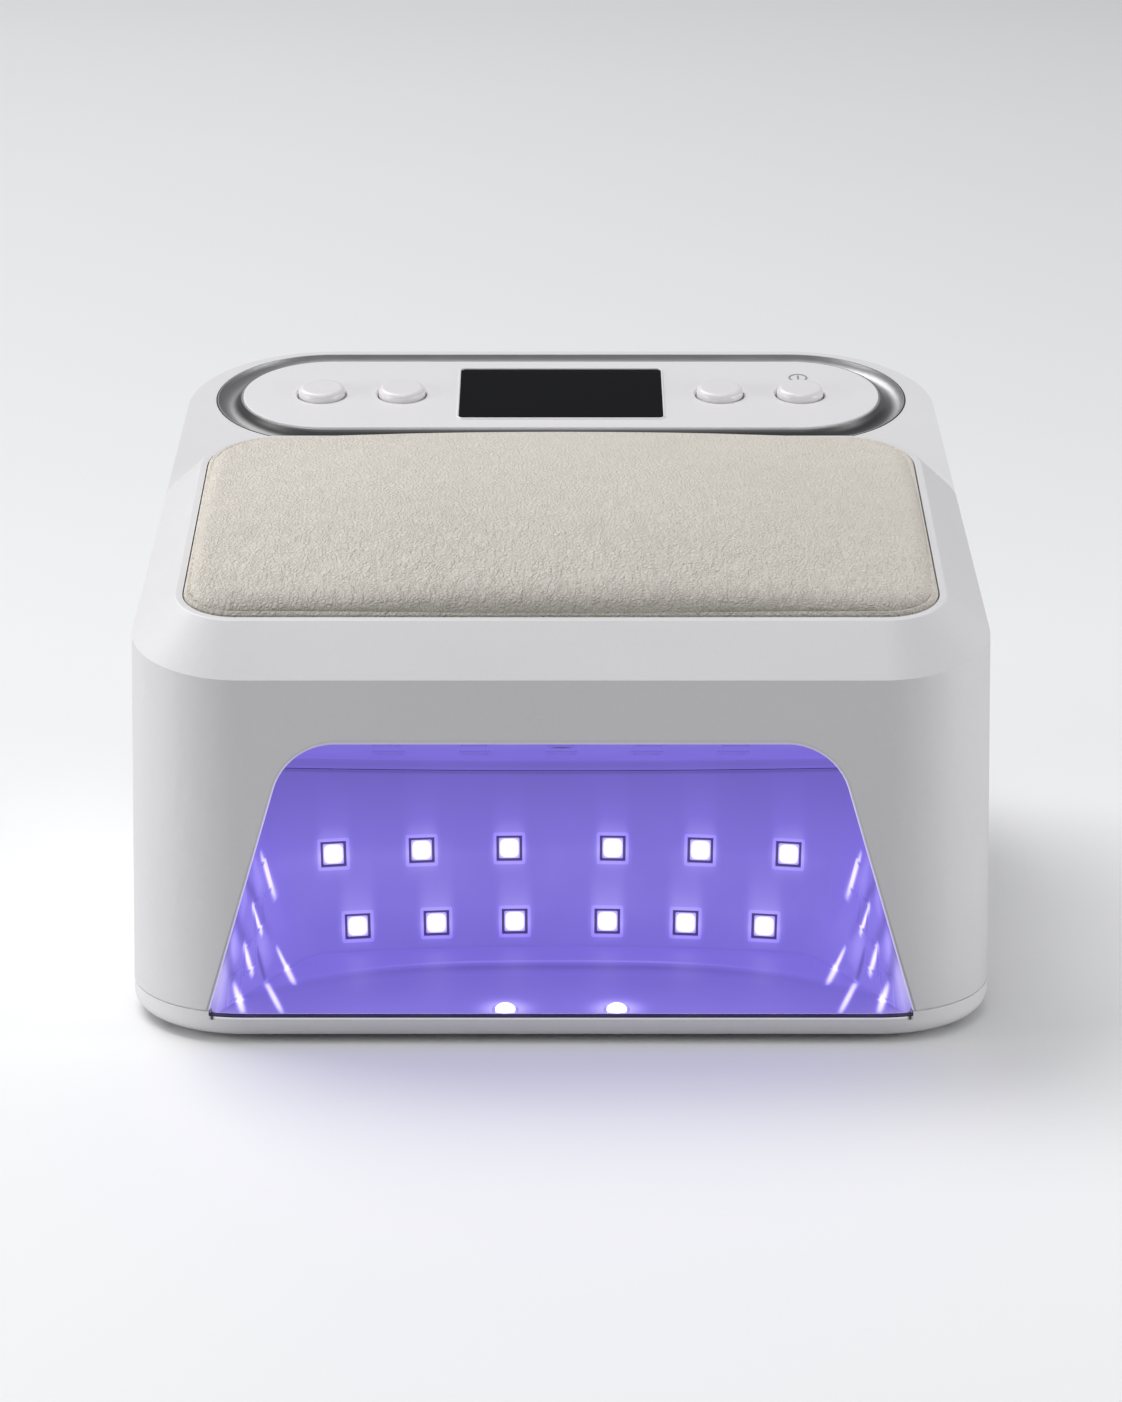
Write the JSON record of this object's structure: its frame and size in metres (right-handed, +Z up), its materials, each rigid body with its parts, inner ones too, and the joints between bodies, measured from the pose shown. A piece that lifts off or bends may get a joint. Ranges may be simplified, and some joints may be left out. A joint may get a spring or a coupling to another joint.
{
  "type": "nail lamp",
  "caption": "White gel nail curing lamp: open-fronted lit hand space, cream arm pad on the sloping top, and a rear control panel in a silver ring with push buttons and a display.",
  "frame": {"origin": "On the table, under the middle of the lamp's base box", "axes": "+X to the right as seen from the front, +Y to the rear, away from the hand opening, +Z up"},
  "size_m": [0.2192, 0.213, 0.1332],
  "materials": {
    "casing_white": "satin moulded",
    "base_white": "satin moulded",
    "panel_white": "fine matt moulded",
    "button_white": "satin moulded",
    "trim_silver": "brushed, fine polished inner edge",
    "pad_leather": "cream, pebble grain",
    "pad_board_black": "moulded",
    "display_black": "polished lens",
    "display_body": "moulded",
    "reflector_silver": "satin metallised",
    "led_lens": "clear dome, lit violet",
    "led_board_white": "white solder mask",
    "sensor_dark": "dark lens",
    "circuit_green": "solder mask",
    "component_grey": "moulded",
    "switch_black": "moulded",
    "jack_black": "moulded",
    "cell_wrap": "shrink sleeve",
    "cradle_black": "moulded",
    "screw_steel": "zinc plated",
    "foot_rubber": "moulded"
  },
  "bodies": {
    "root": {"upper_shell": "casing_white", "base_tray": "base_white", "rubber_feet": "foot_rubber", "base_screws": "screw_steel", "floor_plate": "reflector_silver", "floor_led_board": "led_board_white", "floor_leds": "led_lens", "reflector_wall": "reflector_silver", "reflector_roof": "reflector_silver", "reflector_screws": "screw_steel", "hand_sensor": "sensor_dark", "back_led_board": "led_board_white", "back_leds": "led_lens", "left_led_board": "led_board_white", "left_leds": "led_lens", "right_led_board": "led_board_white", "right_leds": "led_lens", "roof_led_board": "led_board_white", "roof_leds": "led_lens", "arm_pad_board": "pad_board_black", "arm_pad_cushion": "pad_leather", "arm_pad_screws": "screw_steel", "panel_trim_ring": "trim_silver", "control_panel": "panel_white", "display_window": "display_black", "display_module": "display_body", "control_board": "circuit_green", "control_board_screws": "screw_steel", "tact_switches": "switch_black", "main_board": "circuit_green", "main_board_parts": "component_grey", "main_board_screws": "screw_steel", "battery_cells": "cell_wrap", "battery_cradle": "cradle_black", "dc_jack": "jack_black"},
    "program_button_1": {"program_button_1": "button_white", "program_plunger_1": "switch_black"},
    "program_button_2": {"program_button_2": "button_white", "program_plunger_2": "switch_black"},
    "program_button_3": {"program_button_3": "button_white", "program_plunger_3": "switch_black"},
    "power_button": {"power_button": "button_white", "power_plunger": "switch_black"}
  },
  "joints": [
    {"name": "program_button_1_press", "type": "slide", "parent": "root", "child": "program_button_1", "axis": [0, 0.1822, -0.9833], "range_m": [0, 0.0008], "stiffness_N_per_m": 1500},
    {"name": "program_button_2_press", "type": "slide", "parent": "root", "child": "program_button_2", "axis": [0, 0.1822, -0.9833], "range_m": [0, 0.0008], "stiffness_N_per_m": 1500},
    {"name": "program_button_3_press", "type": "slide", "parent": "root", "child": "program_button_3", "axis": [0, 0.1822, -0.9833], "range_m": [0, 0.0008], "stiffness_N_per_m": 1500},
    {"name": "power_button_press", "type": "slide", "parent": "root", "child": "power_button", "axis": [0, 0.1822, -0.9833], "range_m": [0, 0.0008], "stiffness_N_per_m": 1500}
  ]
}
